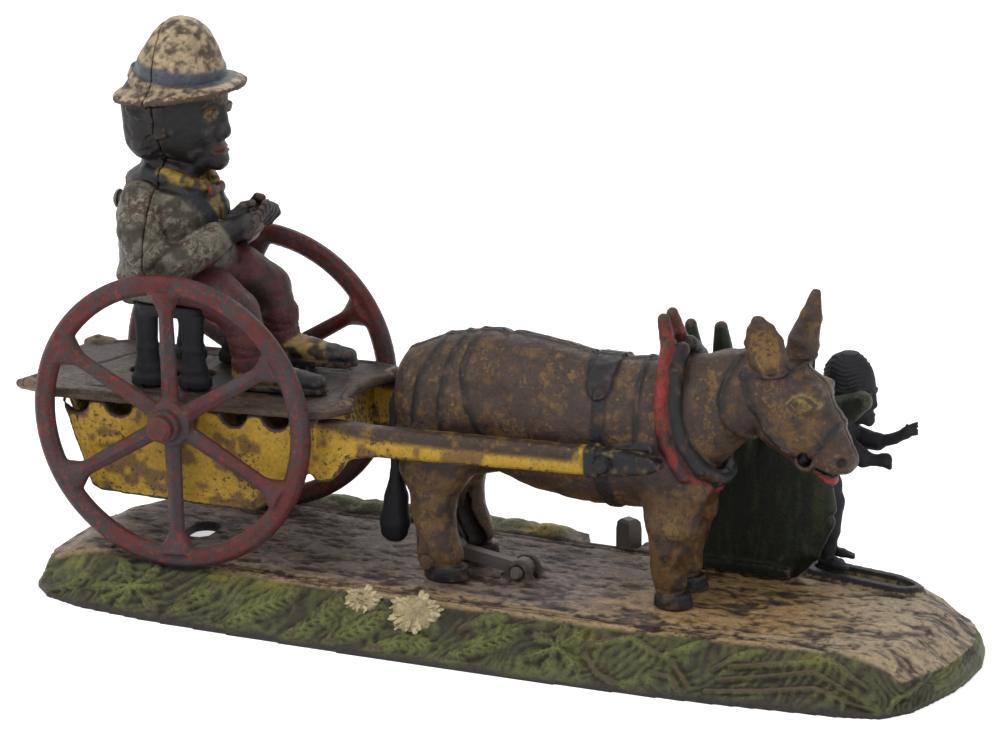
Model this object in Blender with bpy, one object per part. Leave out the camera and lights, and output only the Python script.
"""Cast iron mechanical bank: a driver on a two-wheeled cart drawn by a donkey.

The frame has +X towards the donkey's head, +Y away from the side that carries
the grass bank, and +Z up. The pieces are modelled about the centre of the
base's underside, and the whole is then moved until the origin is the bottom
centre of its outer box.
Sizes are in millimetres and become metres when a mesh is made.
"""
import math

import bmesh
import bpy
from mathutils import Matrix, Vector

MM = 0.001

# Fits between pieces
GAP = 0.3
RUNNING_GAP = 0.4

# Base casting
BASE_LENGTH = 262.0
BASE_WIDTH = 84.0
ROAD_HEIGHT = 13.5
BASE_LIP = 3.0
BASE_WALL = 3.0
BANK_RUN = 14.0
EDGE_RUN = 2.5
FOOT_WIDTH = 2.4
HATCH_LENGTH = 8.0
HATCH_WIDTH = 13.0
HATCH_X = -91.5
POCKET_DEPTH = 0.8

# Wheels and axle
WHEEL_RADIUS = 41.0
RIM_HEIGHT = 5.8
RIM_WIDTH = 4.2
WHEEL_FACE_Y = 30.5
SPOKE_COUNT = 6
SPOKE_WIDTH = 4.6
SPOKE_THICKNESS = 3.0
HUB_RADIUS = 5.6
HUB_LENGTH = 8.0
AXLE_X = -85.7
AXLE_RADIUS = 2.2
AXLE_HEAD_RADIUS = 3.6
AXLE_HEAD_LENGTH = 2.6

# Cart, in the cart's own level frame with the axle as its origin
CART_SLOPE = 2.3
BOX_WIDTH = 46.8
BOX_WALL = 3.0
BOX_REAR = 36.5
BOX_FRONT = 40.0
BOX_DEPTH = 24.5
TRAY_WALL = 2.0
SCALLOP_RADIUS = 4.0
DECK_THICKNESS = 2.2
DECK_REAR = 50.5
DECK_FRONT = 48.0
DECK_WIDTH = 50.0
DECK_HORN = 4.5
COIN_SLOT_LENGTH = 26.0
COIN_SLOT_WIDTH = 8.0
SHAFT_CENTRE_Y = 19.8
SHAFT_WIDTH = 5.6
SHAFT_HEIGHT = 8.0
SHAFT_REACH = 139.0
SHAFT_PIN_X = 122.6
SHAFT_LINE = -3.0
TRAP_RADIUS = 9.0
TRAP_THICKNESS = 1.6
TRAP_OFFSET = 8.5
SEAT_LENGTH = 21.0
SEAT_WIDTH = 30.0
SEAT_THICKNESS = 3.0
SEAT_HEIGHT = 22.6
SEAT_X = -7.0
SEAT_LEG_RADIUS = 3.0

# Fasteners
PIN_RADIUS = 1.5
PIN_HEAD_RADIUS = 2.7
PIN_HEAD_LENGTH = 1.3
SCREW_RADIUS = 1.4
SCREW_HEAD_RADIUS = 3.0
SCREW_HEAD_LENGTH = 1.4

# Driver, above his seat
DRIVER_HEIGHT = 77.0

# Donkey, whose shape is set out from the pin that carries it on the shafts
DONKEY_LENGTH = 129.0
DONKEY_HEIGHT = 101.0
DONKEY_HALF_WIDTH = 14.8
HOOF_PIN_BACK = 53.9
HOOF_PIN_HEIGHT = 5.4
TAIL_CLEARANCE = 3.0
TAIL_THICKNESS = 3.6
DOWEL_LENGTH = 12.0
BIT_HOLE_RADIUS = 2.0

# Link between the hind hooves and the base
LINK_PIVOT_X = 5.0
LINK_PIVOT_Z = 15.6
LINK_THICKNESS = 3.0
LINK_EYE_RADIUS = 3.3
LINK_TAIL = 7.1
EYE_SLOT_BACK = 1.4
EYE_SLOT_FRONT = 2.0
LUG_THICKNESS = 2.4

# Thumb lever, slide bar and catch under the road
LEVER_PIVOT_X = 14.0
LEVER_FROM_EDGE = 18.0
LEVER_OUTER = 15.0
LEVER_INNER = 37.0
LEVER_SWING = 30.0
LEVER_THICKNESS = 1.8
LEVER_WIDTH = 6.0
LEVER_BOTTOM = 4.0
SPRING_BOSS_RADIUS = 4.0
SPRING_THICKNESS = 0.8
SPRING_BOW = 3.0
THUMB_TOP = 20.0
SLIDE_ANGLE = -10.6
SLIDE_TRAVEL = 19.0
BAR_BOTTOM = 2.0
BAR_THICKNESS = 1.6
BAR_WIDTH = 6.4
BOY_SLOT_WIDTH = 5.4
BOY_SLOT_FROM_END = 52.5
BOY_SLOT_FROM_EDGE = 6.8
SLOT_RIM_HEIGHT = 1.6
SLOT_RIM_WIDTH = 2.6
TONGUE_LENGTH = 6.0
BOY_HEIGHT = 61.0
CATCH_PIVOT_X = 17.0
CATCH_PIVOT_Z = 7.9
CATCH_PIN_RADIUS = 0.8

# Bush, from the start of the boy's slot
BUSH_BACK = 16.5
BUSH_ASIDE = 8.2
BUSH_THICKNESS = 5.0
BUSH_HEIGHT = 69.6

# Values that follow from the sizes above
AXLE_Z = ROAD_HEIGHT - POCKET_DEPTH + GAP + WHEEL_RADIUS
WHEEL_INNER_Y = WHEEL_FACE_Y - RIM_WIDTH
SIDE_Y = BOX_WIDTH / 2
DECK_BOTTOM = AXLE_RADIUS + RUNNING_GAP
DECK_TOP = DECK_BOTTOM + DECK_THICKNESS
SEAT_TOP = DECK_TOP + GAP + SEAT_HEIGHT
BOX_TOP = DECK_BOTTOM - GAP
ROAD_UNDER = ROAD_HEIGHT - BASE_WALL
SLOPE = math.radians(CART_SLOPE)
BOY_SLOT_START_X = BASE_LENGTH / 2 - BOY_SLOT_FROM_END
BOY_SLOT_START_Y = BASE_WIDTH / 2 - BOY_SLOT_FROM_EDGE
LEVER_PIVOT_Y = BASE_WIDTH / 2 - LEVER_FROM_EDGE
BUSH_X = BOY_SLOT_START_X - BUSH_BACK
BUSH_Y = BOY_SLOT_START_Y - BUSH_ASIDE
SLIDE_DIRECTION = Vector((math.cos(math.radians(SLIDE_ANGLE)), math.sin(math.radians(SLIDE_ANGLE)), 0.0))


def cart_to_world(x, z):
    """Return world X and Z of a point given in the level cart frame."""
    world_x = AXLE_X + x * math.cos(SLOPE) - z * math.sin(SLOPE)
    world_z = AXLE_Z + x * math.sin(SLOPE) + z * math.cos(SLOPE)
    return world_x, world_z


PIN_X, PIN_Z = cart_to_world(SHAFT_PIN_X, SHAFT_LINE)
HOOF_X = PIN_X - HOOF_PIN_BACK * DONKEY_LENGTH / 129.0
HOOF_Z = ROAD_HEIGHT + HOOF_PIN_HEIGHT
HOOF_FLOOR = ROAD_HEIGHT + GAP - PIN_Z


def clear_scene():
    for item in list(bpy.data.objects):
        bpy.data.objects.remove(item)


def make_material(name, colour, roughness, metallic):
    material = bpy.data.materials.new(name)
    material.use_nodes = True
    shader = material.node_tree.nodes["Principled BSDF"]
    shader.inputs["Base Color"].default_value = (*colour, 1.0)
    shader.inputs["Roughness"].default_value = roughness
    shader.inputs["Metallic"].default_value = metallic
    material.diffuse_color = (*colour, 1.0)
    return material


def make_object(name, mesh_data):
    """Turn a bmesh in millimetres into an object in metres."""
    bmesh.ops.scale(mesh_data, vec=Vector((MM, MM, MM)), verts=mesh_data.verts)
    bmesh.ops.recalc_face_normals(mesh_data, faces=mesh_data.faces)
    bmesh.ops.triangulate(mesh_data, faces=mesh_data.faces)
    mesh = bpy.data.meshes.new(name)
    mesh_data.to_mesh(mesh)
    mesh_data.free()
    item = bpy.data.objects.new(name, mesh)
    bpy.context.scene.collection.objects.link(item)
    return item


def loft(rings, name="loft"):
    """Skin a list of equal point rings and close both ends."""
    mesh_data = bmesh.new()
    loops = [[mesh_data.verts.new(point) for point in ring] for ring in rings]
    count = len(loops[0])
    for lower, upper in zip(loops, loops[1:]):
        for i in range(count):
            j = (i + 1) % count
            mesh_data.faces.new((lower[i], lower[j], upper[j], upper[i]))
    mesh_data.faces.new(list(reversed(loops[0])))
    mesh_data.faces.new(loops[-1])
    return make_object(name, mesh_data)


def ellipse_ring(centre, side, normal, half_side, half_normal, sides):
    ring = []
    for i in range(sides):
        angle = 2 * math.pi * (i + 0.5) / sides
        ring.append(centre + side * (half_side * math.cos(angle)) + normal * (half_normal * math.sin(angle)))
    return ring


def limb(stations, sides=10, reference=(0, 1, 0), end_round=0.55):
    """Loft an elliptical section along stations of (x, y, z, half_side, half_normal)."""
    centres = [Vector(station[:3]) for station in stations]
    rings = []
    for i, station in enumerate(stations):
        before = centres[max(i - 1, 0)]
        after = centres[min(i + 1, len(centres) - 1)]
        tangent = (after - before).normalized()
        side = Vector(reference) - tangent * Vector(reference).dot(tangent)
        side.normalize()
        normal = tangent.cross(side)
        ring = ellipse_ring(centres[i], side, normal, station[3], station[4], sides)
        tip_shift = tangent * (min(station[3], station[4]) * end_round)
        if i == 0 and end_round:
            rings.append(ellipse_ring(centres[i] - tip_shift, side, normal, station[3] * 0.6,
                station[4] * 0.6, sides))
        rings.append(ring)
        if i == len(stations) - 1 and end_round:
            rings.append(ellipse_ring(centres[i] + tip_shift, side, normal, station[3] * 0.6,
                station[4] * 0.6, sides))
    return loft(rings)


def prism(outline, axis, low, high):
    """Extrude a closed outline of two coordinates along the named axis."""
    place = {
        "X": lambda u, v, w: (w, u, v),
        "Y": lambda u, v, w: (u, w, v),
        "Z": lambda u, v, w: (u, v, w),
    }[axis]
    return loft([[Vector(place(u, v, w)) for u, v in outline] for w in (low, high)])


def box(low, high):
    outline = [(low[0], low[1]), (high[0], low[1]), (high[0], high[1]), (low[0], high[1])]
    return prism(outline, "Z", low[2], high[2])


def turned(base, direction, profile, sides=12):
    """Revolve a profile of (radius, distance) about a line."""
    axis = Vector(direction).normalized()
    reference = Vector((0, 0, 1)) if abs(axis.z) < 0.9 else Vector((1, 0, 0))
    side = axis.cross(reference).normalized()
    normal = axis.cross(side)
    start = Vector(base)
    return loft([ellipse_ring(start + axis * along, side, normal, radius, radius, sides)
        for radius, along in profile])


def cylinder(base, direction, radius, length, sides=12):
    return turned(base, direction, [(radius, 0.0), (radius, length)], sides)


def stadium(start, end, radius, steps=7):
    """Outline of a slot with round ends between two points of the plane."""
    start, end = Vector(start), Vector(end)
    heading = math.atan2(end.y - start.y, end.x - start.x)
    outline = []
    for centre, turn in ((end, -math.pi / 2), (start, math.pi / 2)):
        for i in range(steps + 1):
            angle = heading + turn + math.pi * i / steps
            outline.append((centre.x + radius * math.cos(angle), centre.y + radius * math.sin(angle)))
    return outline


def weld_slivers(mesh, distance=0.004):
    """Merge the points that a cut leaves almost on top of each other."""
    mesh_data = bmesh.new()
    mesh_data.from_mesh(mesh)
    bmesh.ops.remove_doubles(mesh_data, verts=mesh_data.verts, dist=distance * MM)
    bmesh.ops.dissolve_degenerate(mesh_data, edges=mesh_data.edges, dist=distance * MM)
    mesh_data.to_mesh(mesh)
    mesh_data.free()


def combine(target, tools, operation):
    """Apply boolean operations and keep only the result."""
    for tool in tools:
        modifier = target.modifiers.new(operation.title(), "BOOLEAN")
        modifier.operation = operation
        modifier.solver = "EXACT"
        modifier.object = tool
        graph = bpy.context.evaluated_depsgraph_get()
        mesh = bpy.data.meshes.new_from_object(target.evaluated_get(graph))
        target.modifiers.clear()
        target.data = mesh
        weld_slivers(mesh)
        bpy.data.objects.remove(tool)
    return target


def fuse(*pieces):
    return combine(pieces[0], pieces[1:], "UNION")


def cut(target, *tools):
    return combine(target, tools, "DIFFERENCE")


def tidy_mesh(item):
    """Join the flat faces that cutting leaves in pieces."""
    mesh_data = bmesh.new()
    mesh_data.from_mesh(item.data)
    bmesh.ops.dissolve_limit(
        mesh_data, angle_limit=math.radians(0.4), verts=mesh_data.verts, edges=mesh_data.edges)
    bmesh.ops.triangulate(mesh_data, faces=[face for face in mesh_data.faces if len(face.verts) > 4])
    mesh_data.to_mesh(item.data)
    mesh_data.free()
    return item


def finish(item, name, material, parent=None, origin=(0, 0, 0)):
    """Name a piece, put its origin on its joint and shade it."""
    item.name = name
    item.data.name = name
    offset = Vector(origin) * MM
    item.data.transform(Matrix.Translation(-offset))
    item.location = offset
    item.data.materials.clear()
    item.data.materials.append(material)
    item.data.shade_smooth()
    item.data.set_sharp_from_angle(angle=math.radians(40))
    if parent:
        item.parent = parent
    return item


def make_empty(name, location, slope=0.0, parent=None):
    """Add an empty that carries the pieces of one moving group."""
    empty = bpy.data.objects.new(name, None)
    empty.location = Vector(location) * MM
    empty.rotation_euler = (0.0, -slope, 0.0)
    empty.parent = parent
    bpy.context.scene.collection.objects.link(empty)
    return empty


def smooth_loop(points, steps=4):
    """Pass a closed Catmull-Rom curve through the points."""
    count = len(points)
    outline = []
    for i in range(count):
        a, b, c, d = (Vector(points[(i + k - 1) % count]) for k in range(4))
        for step in range(steps):
            t = step / steps
            point = 0.5 * (2 * b + (c - a) * t + (2 * a - 5 * b + 4 * c - d) * t ** 2
                + (3 * b - a - 3 * c + d) * t ** 3)
            outline.append(point)
    return outline


def base_outline():
    """Bottom edge of the base: a long loaf shape with a squarer right end."""
    shares = [
        (-1.0, -0.12), (-0.985, -0.6), (-0.85, -0.86), (-0.48, -0.965), (0.0, -1.0), (0.42, -0.97),
        (0.71, -0.885), (0.91, -0.775), (0.975, -0.37), (1.0, 0.1), (0.975, 0.62), (0.86, 0.94),
        (0.5, 1.0), (0.0, 1.0), (-0.55, 0.99), (-0.88, 0.88), (-0.985, 0.42),
    ]
    points = [(u * BASE_LENGTH / 2, v * BASE_WIDTH / 2, 0.0) for u, v in shares]
    return smooth_loop(points, 2)


def inset_ring(outline, share, extra, height):
    """Move an outline inwards by a share of the bank's run plus an extra distance."""
    count = len(outline)
    ring = []
    for i, point in enumerate(outline):
        tangent = outline[(i + 1) % count] - outline[i - 1]
        inward = Vector((-tangent.y, tangent.x, 0)).normalized()
        run = EDGE_RUN + (BANK_RUN - EDGE_RUN) * max(0.0, inward.y) ** 2
        ring.append(Vector((point.x, point.y, 0)) + inward * (run * share + extra) + Vector((0, 0, height)))
    return ring


def slot_point(distance):
    """Point on the boy's slot at a distance from its start."""
    return Vector((BOY_SLOT_START_X, BOY_SLOT_START_Y, 0)) + SLIDE_DIRECTION * distance


def lever_ends(angle_from_mid):
    """Thumb end and inner end of the lever at an angle from mid travel."""
    angle = math.radians(90 + SLIDE_ANGLE) + math.radians(angle_from_mid)
    arm = Vector((math.cos(angle), math.sin(angle), 0))
    pivot = Vector((LEVER_PIVOT_X, LEVER_PIVOT_Y, 0))
    return pivot + arm * LEVER_OUTER, pivot - arm * LEVER_INNER


def base_parts(finishes):
    outline = base_outline()
    casting = loft([
        inset_ring(outline, 1.0, BASE_WALL, ROAD_UNDER),
        inset_ring(outline, 0.35, BASE_WALL, ROAD_UNDER * 0.62),
        inset_ring(outline, 0.0, FOOT_WIDTH, 0.0),
        inset_ring(outline, 0.0, 0.0, 0.0),
        inset_ring(outline, 0.02, 0.0, BASE_LIP),
        inset_ring(outline, 0.45, 0.0, BASE_LIP + (ROAD_HEIGHT - BASE_LIP) * 0.66),
        inset_ring(outline, 1.0, 0.0, ROAD_HEIGHT),
    ])
    additions = []
    # Raised rim round the boy's slot
    slot_a = slot_point(0.0)
    slot_b = slot_point(SLIDE_TRAVEL + TONGUE_LENGTH)
    rim_radius = BOY_SLOT_WIDTH / 2 + SLOT_RIM_WIDTH
    additions.append(prism(stadium(slot_a, slot_b, rim_radius), "Z", ROAD_UNDER - 0.5,
        ROAD_HEIGHT + SLOT_RIM_HEIGHT))
    # Lugs that hold the link's pivot pin above the road
    for side in (-1, 1):
        inner = side * (LINK_THICKNESS / 2 + RUNNING_GAP)
        outer = inner + side * LUG_THICKNESS
        lug = [(LINK_PIVOT_X - 5.5, ROAD_UNDER + 0.5), (LINK_PIVOT_X + 5.5, ROAD_UNDER + 0.5)]
        for i in range(7):
            angle = math.radians(15 + 25 * i)
            lug.append((LINK_PIVOT_X + 3.6 * math.cos(angle), LINK_PIVOT_Z + 3.2 * math.sin(angle)))
        additions.append(prism(lug, "Y", min(inner, outer), max(inner, outer)))
        # Ears under the road for the catch's pin
        ear_inner = side * (LINK_THICKNESS / 2 + RUNNING_GAP)
        ear_outer = ear_inner + side * LUG_THICKNESS
        additions.append(box(
            (CATCH_PIVOT_X - 3, min(ear_inner, ear_outer), CATCH_PIVOT_Z - 1.6),
            (CATCH_PIVOT_X + 3, max(ear_inner, ear_outer), ROAD_UNDER + 0.5)))
    # Boss that carries the thumb lever, and the boss of its spring
    lever_top = LEVER_BOTTOM + LEVER_THICKNESS + GAP
    additions.append(cylinder((LEVER_PIVOT_X, LEVER_PIVOT_Y, lever_top), (0, 0, 1), 4.5,
        ROAD_UNDER - lever_top + 0.5))
    spring_x, spring_y = spring_root()
    additions.append(cylinder((spring_x, spring_y, lever_top), (0, 0, 1), SPRING_BOSS_RADIUS,
        ROAD_UNDER - lever_top + 0.5))
    fuse(casting, *additions)

    cutters = []
    for side in (-1, 1):
        low = side * WHEEL_FACE_Y if side < 0 else WHEEL_INNER_Y
        high = -WHEEL_INNER_Y if side < 0 else WHEEL_FACE_Y
        cutters.append(cylinder((AXLE_X, low - GAP, AXLE_Z), (0, 1, 0), WHEEL_RADIUS + GAP,
            high - low + 2 * GAP, 64))
    hatch = [Vector((HATCH_X, side * (HATCH_WIDTH - HATCH_LENGTH) / 2 + 1.5, 0)) for side in (-1, 1)]
    cutters.append(prism(stadium(*hatch, HATCH_LENGTH / 2), "Z", ROAD_UNDER - 1, ROAD_HEIGHT + 1))
    cutters.append(prism(stadium(slot_a, slot_b, BOY_SLOT_WIDTH / 2), "Z", BAR_BOTTOM + 1, ROAD_HEIGHT + 4))
    half_slot = LINK_THICKNESS / 2 + RUNNING_GAP * 0.8
    cutters.append(box(
        (LINK_PIVOT_X - 6.2, -half_slot, ROAD_UNDER - 1), (LINK_PIVOT_X + 3.4, half_slot, ROAD_HEIGHT + 1)))
    cutters.append(cylinder((LINK_PIVOT_X, -12, LINK_PIVOT_Z), (0, 1, 0), PIN_RADIUS + GAP, 24, 16))
    cutters.append(cylinder((CATCH_PIVOT_X, -12, CATCH_PIVOT_Z), (0, 1, 0), CATCH_PIN_RADIUS + GAP, 24, 10))
    cutters.append(cylinder((LEVER_PIVOT_X, LEVER_PIVOT_Y, 0), (0, 0, 1), SCREW_RADIUS + GAP, ROAD_UNDER, 12))
    cutters.append(cylinder((spring_x, spring_y, 0), (0, 0, 1), SCREW_RADIUS + GAP, ROAD_UNDER, 12))
    # Notch in the far wall in which the thumb piece swings
    thumb_rest = lever_ends(-LEVER_SWING / 2)[0]
    thumb_end = lever_ends(LEVER_SWING / 2)[0]
    margin = LEVER_WIDTH / 2 + 1.4
    cutters.append(box(
        (thumb_end.x - margin, LEVER_PIVOT_Y + 9.0, 1.6), (thumb_rest.x + margin, BASE_WIDTH,
        ROAD_HEIGHT + 3)))
    for centre_x in bush_screw_places():
        cutters.append(cylinder((centre_x, BUSH_Y, 0), (0, 0, 1), SCREW_RADIUS + GAP, ROAD_HEIGHT + 4, 12))
    cut(casting, *cutters)
    finish(tidy_mesh(casting), "base_casting", finishes["road"])

    link_pin_parts(finishes)
    catch_parts(finishes)
    lever_parts(finishes)


def cross_pin(name, x, z, half_length, radius, finishes, parent=None, head=PIN_HEAD_RADIUS):
    """Round pin along Y with a peened head at each end."""
    profile = [
        (head * 0.7, -half_length - PIN_HEAD_LENGTH), (head, -half_length), (radius, -half_length),
        (radius, half_length), (head, half_length), (head * 0.7, half_length + PIN_HEAD_LENGTH),
    ]
    return finish(turned((x, 0, z), (0, 1, 0), profile, 10), name, finishes["steel"], parent, (x, 0, z))


def link_pin_parts(finishes):
    lug_face = LINK_THICKNESS / 2 + RUNNING_GAP + LUG_THICKNESS
    cross_pin("link_pivot_pin", LINK_PIVOT_X, LINK_PIVOT_Z, lug_face + GAP, PIN_RADIUS, finishes, head=1.9)
    reach = Vector((HOOF_X - LINK_PIVOT_X, 0, HOOF_Z - LINK_PIVOT_Z))
    heading = reach.normalized()
    half = LINK_THICKNESS / 2
    pivot = Vector((LINK_PIVOT_X, 0, LINK_PIVOT_Z))
    hoof = Vector((HOOF_X, 0, HOOF_Z))
    eye_start = hoof - heading * EYE_SLOT_FRONT
    eye_end = hoof + heading * EYE_SLOT_BACK
    rod = prism(stadium(pivot.xz, hoof.xz, 1.7), "Y", -half, half)
    eye = prism(stadium(eye_start.xz, eye_end.xz, LINK_EYE_RADIUS), "Y", -half, half)
    knuckle = cylinder((LINK_PIVOT_X, -half, LINK_PIVOT_Z), (0, 1, 0), 2.9, 2 * half, 14)
    tail_end = pivot - Vector((0, 0, LINK_TAIL - 1.3))
    tail = prism(stadium(pivot.xz, tail_end.xz, 1.3), "Y", -half, half)
    fuse(rod, eye, knuckle, tail)
    bore = cylinder((LINK_PIVOT_X, -6, LINK_PIVOT_Z), (0, 1, 0), PIN_RADIUS + GAP, 12, 12)
    slot = prism(stadium(eye_start.xz, eye_end.xz, PIN_RADIUS + RUNNING_GAP), "Y", -6, 6)
    cut(rod, bore, slot)
    finish(tidy_mesh(rod), "hoof_link", finishes["steel"], None, (LINK_PIVOT_X, 0, LINK_PIVOT_Z))


def catch_parts(finishes):
    """Rocker under the road whose nose stops the link's tail."""
    half = LINK_THICKNESS / 2
    tail_bottom = LINK_PIVOT_Z - LINK_TAIL
    nose_top = tail_bottom - RUNNING_GAP
    arm_bottom = LEVER_BOTTOM + LEVER_THICKNESS + RUNNING_GAP
    outline = [
        (LINK_PIVOT_X - 4.0, arm_bottom), (CATCH_PIVOT_X + 8.0, arm_bottom),
        (CATCH_PIVOT_X + 8.0, arm_bottom + 1.6),
        (CATCH_PIVOT_X + 2.4, CATCH_PIVOT_Z + 1.9), (CATCH_PIVOT_X - 2.4, CATCH_PIVOT_Z + 1.9),
        (LINK_PIVOT_X + 1.0, arm_bottom + 1.2), (LINK_PIVOT_X - 1.6, arm_bottom + 1.2),
        (LINK_PIVOT_X - 2.0, nose_top), (LINK_PIVOT_X - 4.0, nose_top - 0.2),
    ]
    rocker = prism(outline, "Y", -half, half)
    cut(rocker, cylinder((CATCH_PIVOT_X, -6, CATCH_PIVOT_Z), (0, 1, 0), CATCH_PIN_RADIUS + GAP, 12, 10))
    finish(rocker, "catch", finishes["steel"], None, (CATCH_PIVOT_X, 0, CATCH_PIVOT_Z))
    ear_face = LINK_THICKNESS / 2 + RUNNING_GAP + LUG_THICKNESS
    cross_pin("catch_pin", CATCH_PIVOT_X, CATCH_PIVOT_Z, ear_face + GAP, CATCH_PIN_RADIUS, finishes, head=1.5)


def shoulder_screw(name, x, y, bottom, top, material):
    """Screw from below with its head under the piece that it holds."""
    profile = [
        (SCREW_HEAD_RADIUS * 0.85, bottom - SCREW_HEAD_LENGTH),
        (SCREW_HEAD_RADIUS, bottom - SCREW_HEAD_LENGTH * 0.6),
        (SCREW_HEAD_RADIUS, bottom), (SCREW_RADIUS, bottom), (SCREW_RADIUS, top),
    ]
    return finish(turned((x, y, 0), (0, 0, 1), profile, 8), name, material, None, (x, y, bottom))


def spring_root():
    """Place of the boss that holds the lever's leaf spring."""
    return LEVER_PIVOT_X - 24.0, LEVER_PIVOT_Y + 2.0


def lever_parts(finishes):
    thumb, inner = lever_ends(-LEVER_SWING / 2)
    pivot = Vector((LEVER_PIVOT_X, LEVER_PIVOT_Y, 0))
    top = LEVER_BOTTOM + LEVER_THICKNESS
    lever = prism(stadium(thumb, pivot, LEVER_WIDTH / 2), "Z", LEVER_BOTTOM, top)
    inner_arm = prism(stadium(pivot, inner, LEVER_WIDTH / 2 - 0.4), "Z", LEVER_BOTTOM, top)
    outward = (thumb - pivot).normalized()
    across = Vector((-outward.y, outward.x, 0))
    # Upright thumb piece with a rounded, ribbed face
    corners = [thumb + outward * u + across * v
        for u, v in ((-2.2, -2.6), (2.6, -2.6), (2.6, 2.6), (-2.2, 2.6))]
    post_rings = []
    for height, shrink in ((LEVER_BOTTOM + 0.4, 1.0), (THUMB_TOP - 3.0, 1.0), (THUMB_TOP - 0.8, 0.9),
            (THUMB_TOP, 0.6)):
        post_rings.append([thumb + (corner - thumb) * shrink + Vector((0, 0, height)) for corner in corners])
    fuse(lever, inner_arm, loft(post_rings))
    drive = cylinder((inner.x, inner.y, BAR_BOTTOM + GAP), (0, 0, 1), PIN_RADIUS,
        LEVER_BOTTOM - BAR_BOTTOM + 0.5, 12)
    fuse(lever, drive)
    cut(lever, cylinder((pivot.x, pivot.y, 0), (0, 0, 1), SCREW_RADIUS + GAP, 12, 12))
    finish(tidy_mesh(lever), "thumb_lever", finishes["steel"], None, (pivot.x, pivot.y, LEVER_BOTTOM))
    shoulder_screw("lever_screw", pivot.x, pivot.y, LEVER_BOTTOM - GAP, ROAD_UNDER - GAP, finishes["steel"])

    # Leaf spring that brings the lever back
    root_x, root_y = spring_root()
    touch = pivot + outward * (LEVER_OUTER * 0.62) + across * (LEVER_WIDTH / 2 + GAP + SPRING_THICKNESS / 2)
    route = []
    for i in range(9):
        t = i / 8
        x = root_x + (touch.x - root_x) * t
        y = root_y + (touch.y - root_y) * t + SPRING_BOW * math.sin(math.pi * t)
        route.append(Vector((x, y, 0)))
    half = SPRING_THICKNESS / 2
    left = [(point.x, point.y + half) for point in route]
    right = [(point.x, point.y - half) for point in reversed(route)]
    leaf = prism(left + right, "Z", LEVER_BOTTOM + 0.1, top - 0.1)
    eye = cylinder((root_x, root_y, LEVER_BOTTOM), (0, 0, 1), SPRING_BOSS_RADIUS * 0.9, LEVER_THICKNESS, 16)
    fuse(leaf, eye)
    cut(leaf, cylinder((root_x, root_y, 0), (0, 0, 1), SCREW_RADIUS + GAP, 12, 12))
    finish(tidy_mesh(leaf), "lever_spring", finishes["steel"], None, (root_x, root_y, LEVER_BOTTOM))
    shoulder_screw("spring_screw", root_x, root_y, LEVER_BOTTOM - GAP, ROAD_UNDER - GAP, finishes["steel"])

    # Bar that carries the boy along his slot
    start = inner
    foot = slot_point(TONGUE_LENGTH / 2)
    bar = prism(stadium(start, foot, BAR_WIDTH / 2), "Z", BAR_BOTTOM, BAR_BOTTOM + BAR_THICKNESS)
    slot_across = Vector((-SLIDE_DIRECTION.y, SLIDE_DIRECTION.x, 0))
    bar_slot = prism(stadium(start - slot_across * 1.6, start + slot_across * 0.4, PIN_RADIUS + GAP),
        "Z", 0, 6)
    cut(bar, bar_slot, cylinder((foot.x, foot.y, 0), (0, 0, 1), SCREW_RADIUS + GAP, 6, 12))
    finish(tidy_mesh(bar), "slide_bar", finishes["steel"], None, (foot.x, foot.y, BAR_BOTTOM))
    shoulder_screw("boy_screw", foot.x, foot.y, BAR_BOTTOM - GAP, ROAD_UNDER - 1.0, finishes["steel"])


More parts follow.
